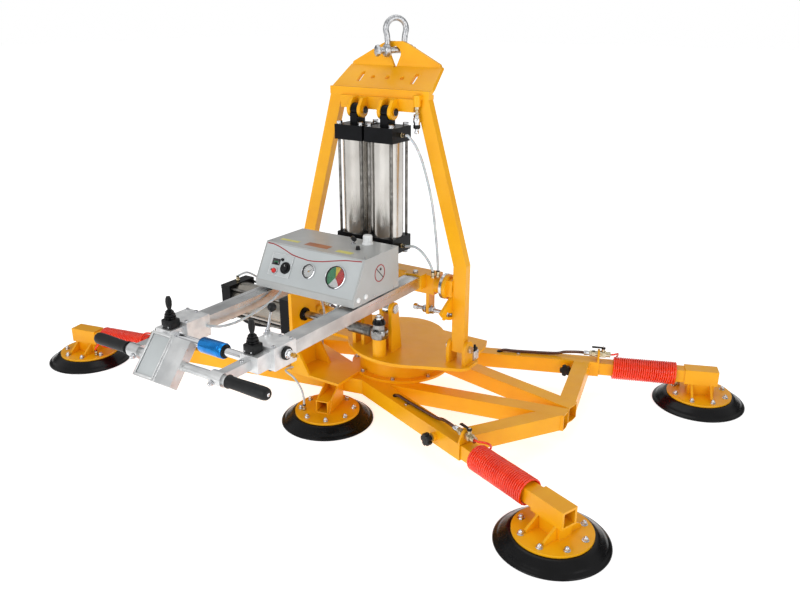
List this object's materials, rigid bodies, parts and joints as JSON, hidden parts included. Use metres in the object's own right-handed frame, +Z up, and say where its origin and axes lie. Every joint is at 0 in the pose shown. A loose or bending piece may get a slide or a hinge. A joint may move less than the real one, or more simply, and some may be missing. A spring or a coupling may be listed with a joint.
{
  "type": "vacuum lifter",
  "caption": "Pneumatic vacuum lifter: a tilting, slewing lattice of telescopic arms with rubber suction cups, hung from a shackle and steered by a handlebar.",
  "frame": {"origin": "on the slewing axis, in the plane of the cup lips", "axes": "+X along the handlebar to the operator's right, +Y from the operator to the back of the machine, +Z up"},
  "size_m": [2.7349, 1.9482, 1.453],
  "materials": {
    "yellow_paint": "satin",
    "black_plastic": "matte",
    "black_rubber": "satin",
    "orange_hose": "gloss",
    "brass": "satin",
    "steel": "polished",
    "aluminium": "satin",
    "box_grey": "satin",
    "black_cast": "satin",
    "brown_hose": "satin",
    "clear_hose": "gloss",
    "blue_anodised": "satin",
    "red_plastic": "gloss",
    "white_plastic": "gloss",
    "bright_barrel": "brushed"
  },
  "bodies": {
    "lattice": {"long_tube_front": "yellow_paint", "long_tube_rear": "yellow_paint", "cross_tube_front": "yellow_paint", "cross_tube_rear": "yellow_paint", "end_braces": "yellow_paint", "arm_collars": "yellow_paint", "ball_valves": "brass", "slew_base": "yellow_paint", "slew_cylinder": "bright_barrel", "side_brackets": "yellow_paint", "side_seals": "black_rubber", "vacuum_hoses": "brown_hose", "coil_front_left": "orange_hose", "coil_front_right": "orange_hose", "coil_rear_right": "orange_hose", "coil_rear_left": "orange_hose"},
    "arm_front_left": {"arm_front_left": "yellow_paint", "seal_front_left": "black_rubber"},
    "arm_front_right": {"arm_front_right": "yellow_paint", "seal_front_right": "black_rubber"},
    "arm_rear_right": {"arm_rear_right": "yellow_paint", "seal_rear_right": "black_rubber"},
    "arm_rear_left": {"arm_rear_left": "yellow_paint", "seal_rear_left": "black_rubber"},
    "knob_front_left": {"knob_front_left": "black_plastic"},
    "knob_front_right": {"knob_front_right": "black_plastic"},
    "knob_rear_right": {"knob_rear_right": "black_plastic"},
    "knob_rear_left": {"knob_rear_left": "black_plastic"},
    "lever_front_left": {"lever_front_left": "black_plastic"},
    "lever_front_right": {"lever_front_right": "black_plastic"},
    "lever_rear_right": {"lever_rear_right": "black_plastic"},
    "lever_rear_left": {"lever_rear_left": "black_plastic"},
    "slew_rod": {"slew_rod": "steel"},
    "turntable": {"turntable": "yellow_paint", "hinge_bolts": "steel"},
    "mast": {"legs": "yellow_paint", "lift_plate": "yellow_paint", "axle_mounts": "yellow_paint", "air_hoses": "clear_hose"},
    "tilt_barrels": {"tilt_barrels": "aluminium", "tilt_caps": "black_cast"},
    "tilt_rods": {"tilt_rods": "steel"},
    "shackle": {"shackle": "steel", "shackle_pin": "steel"},
    "control_arm": {"beams": "aluminium", "arm_crossbar": "yellow_paint", "control_box": "box_grey", "ejector": "aluminium", "valve_blocks": "aluminium", "handlebar": "aluminium", "grips": "black_plastic", "display_holder": "aluminium", "joystick_bases": "black_plastic", "box_fittings": "white_plastic"},
    "joystick_left": {"joystick_left": "black_plastic"},
    "joystick_right": {"joystick_right": "black_plastic"},
    "ball_lever": {"ball_lever": "black_plastic"},
    "slide_sleeve": {"slide_sleeve": "blue_anodised"},
    "lock_screw": {"lock_screw": "steel"},
    "stop_button": {"stop_button": "red_plastic"}
  },
  "joints": [
    {"name": "slew_turn", "type": "hinge", "parent": "lattice", "child": "turntable", "pos_m": [0, 0, 0.285], "axis": [0, 0, 1], "range_deg": [-30, 0]},
    {"name": "slew_rod_slide", "type": "slide", "parent": "lattice", "child": "slew_rod", "axis": [1, 0, 0], "range_m": [-0.1262, 0]},
    {"name": "mast_tilt", "type": "hinge", "parent": "turntable", "child": "mast", "pos_m": [0, -0.132, 0.34], "axis": [1, 0, 0], "range_deg": [-90, 0]},
    {"name": "tilt_barrel_swing", "type": "hinge", "parent": "mast", "child": "tilt_barrels", "pos_m": [0, -0.18, 1.15], "axis": [1, 0, 0], "range_deg": [-4.13, 0]},
    {"name": "tilt_rod_extend", "type": "slide", "parent": "tilt_barrels", "child": "tilt_rods", "axis": [0, 0, -1], "range_m": [0, 0.1602]},
    {"name": "control_arm_swing", "type": "hinge", "parent": "mast", "child": "control_arm", "pos_m": [0, -0.132, 0.56], "axis": [1, 0, 0], "range_deg": [-17, 15]},
    {"name": "shackle_swing", "type": "hinge", "parent": "mast", "child": "shackle", "pos_m": [0, -0.034, 1.338], "axis": [0.5736, 0.8192, 0], "range_deg": [-18, 18]},
    {"name": "arm_front_left_slide", "type": "slide", "parent": "lattice", "child": "arm_front_left", "axis": [-0.9792, -0.2028, 0], "range_m": [-0.025, 0.2]},
    {"name": "arm_front_right_slide", "type": "slide", "parent": "lattice", "child": "arm_front_right", "axis": [0.932, -0.3624, 0], "range_m": [-0.025, 0.2]},
    {"name": "arm_rear_right_slide", "type": "slide", "parent": "lattice", "child": "arm_rear_right", "axis": [0.932, 0.3624, 0], "range_m": [-0.025, 0.2]},
    {"name": "arm_rear_left_slide", "type": "slide", "parent": "lattice", "child": "arm_rear_left", "axis": [-0.9792, 0.2028, 0], "range_m": [-0.025, 0.2]},
    {"name": "knob_front_left_turn", "type": "hinge", "parent": "lattice", "child": "knob_front_left", "pos_m": [-0.84162, -0.384, 0.115], "axis": [0.2028, -0.9792, 0], "range_deg": [-180, 180]},
    {"name": "knob_front_right_turn", "type": "hinge", "parent": "lattice", "child": "knob_front_right", "pos_m": [0.38297, -0.381, 0.115], "axis": [-0.3624, -0.932, 0], "range_deg": [-180, 180]},
    {"name": "knob_rear_right_turn", "type": "hinge", "parent": "lattice", "child": "knob_rear_right", "pos_m": [0.54471, 0.37952, 0.115], "axis": [0.3624, -0.932, 0], "range_deg": [-180, 180]},
    {"name": "knob_rear_left_turn", "type": "hinge", "parent": "lattice", "child": "knob_rear_left", "pos_m": [-0.51878, 0.25587, 0.115], "axis": [-0.2028, -0.9792, 0], "range_deg": [-180, 180]},
    {"name": "lever_front_left_turn", "type": "hinge", "parent": "lattice", "child": "lever_front_left", "pos_m": [-0.98773, -0.38362, 0.171], "axis": [0, 0, 1], "range_deg": [0, 90]},
    {"name": "lever_front_right_turn", "type": "hinge", "parent": "lattice", "child": "lever_front_right", "pos_m": [0.52712, -0.40487, 0.171], "axis": [0, 0, 1], "range_deg": [0, 90]},
    {"name": "lever_rear_right_turn", "type": "hinge", "parent": "lattice", "child": "lever_rear_right", "pos_m": [0.66712, 0.45931, 0.171], "axis": [0, 0, 1], "range_deg": [0, 90]},
    {"name": "lever_rear_left_turn", "type": "hinge", "parent": "lattice", "child": "lever_rear_left", "pos_m": [-0.65273, 0.31424, 0.171], "axis": [0, 0, 1], "range_deg": [0, 90]},
    {"name": "joystick_left_tilt", "type": "hinge", "parent": "control_arm", "child": "joystick_left", "pos_m": [-0.162, -0.984, 0.639], "axis": [1, 0, 0], "range_deg": [-12, 12]},
    {"name": "joystick_right_tilt", "type": "hinge", "parent": "control_arm", "child": "joystick_right", "pos_m": [0.162, -0.984, 0.639], "axis": [1, 0, 0], "range_deg": [-12, 12]},
    {"name": "ball_lever_swing", "type": "hinge", "parent": "control_arm", "child": "ball_lever", "pos_m": [0.135, -0.895, 0.626], "axis": [0, 1, 0], "range_deg": [-32, 8]},
    {"name": "sleeve_slide", "type": "slide", "parent": "control_arm", "child": "slide_sleeve", "axis": [1, 0, 0], "range_m": [-0.09, 0.07]},
    {"name": "lock_screw_turn", "type": "hinge", "parent": "control_arm", "child": "lock_screw", "pos_m": [0.2, -0.142, 0.463], "axis": [1, 0, 0], "range_deg": [-180, 180]},
    {"name": "stop_button_press", "type": "slide", "parent": "control_arm", "child": "stop_button", "axis": [0, 0.8742, -0.4856], "range_m": [0, 0.003]}
  ],
  "couplings": [
    {"joint": "slew_rod_slide", "follows": "slew_turn", "m_per_rad": 0.241},
    {"joint": "tilt_barrel_swing", "follows": "mast_tilt", "ratio": 0.045889},
    {"joint": "tilt_rod_extend", "follows": "mast_tilt", "m_per_rad": -0.10199}
  ]
}
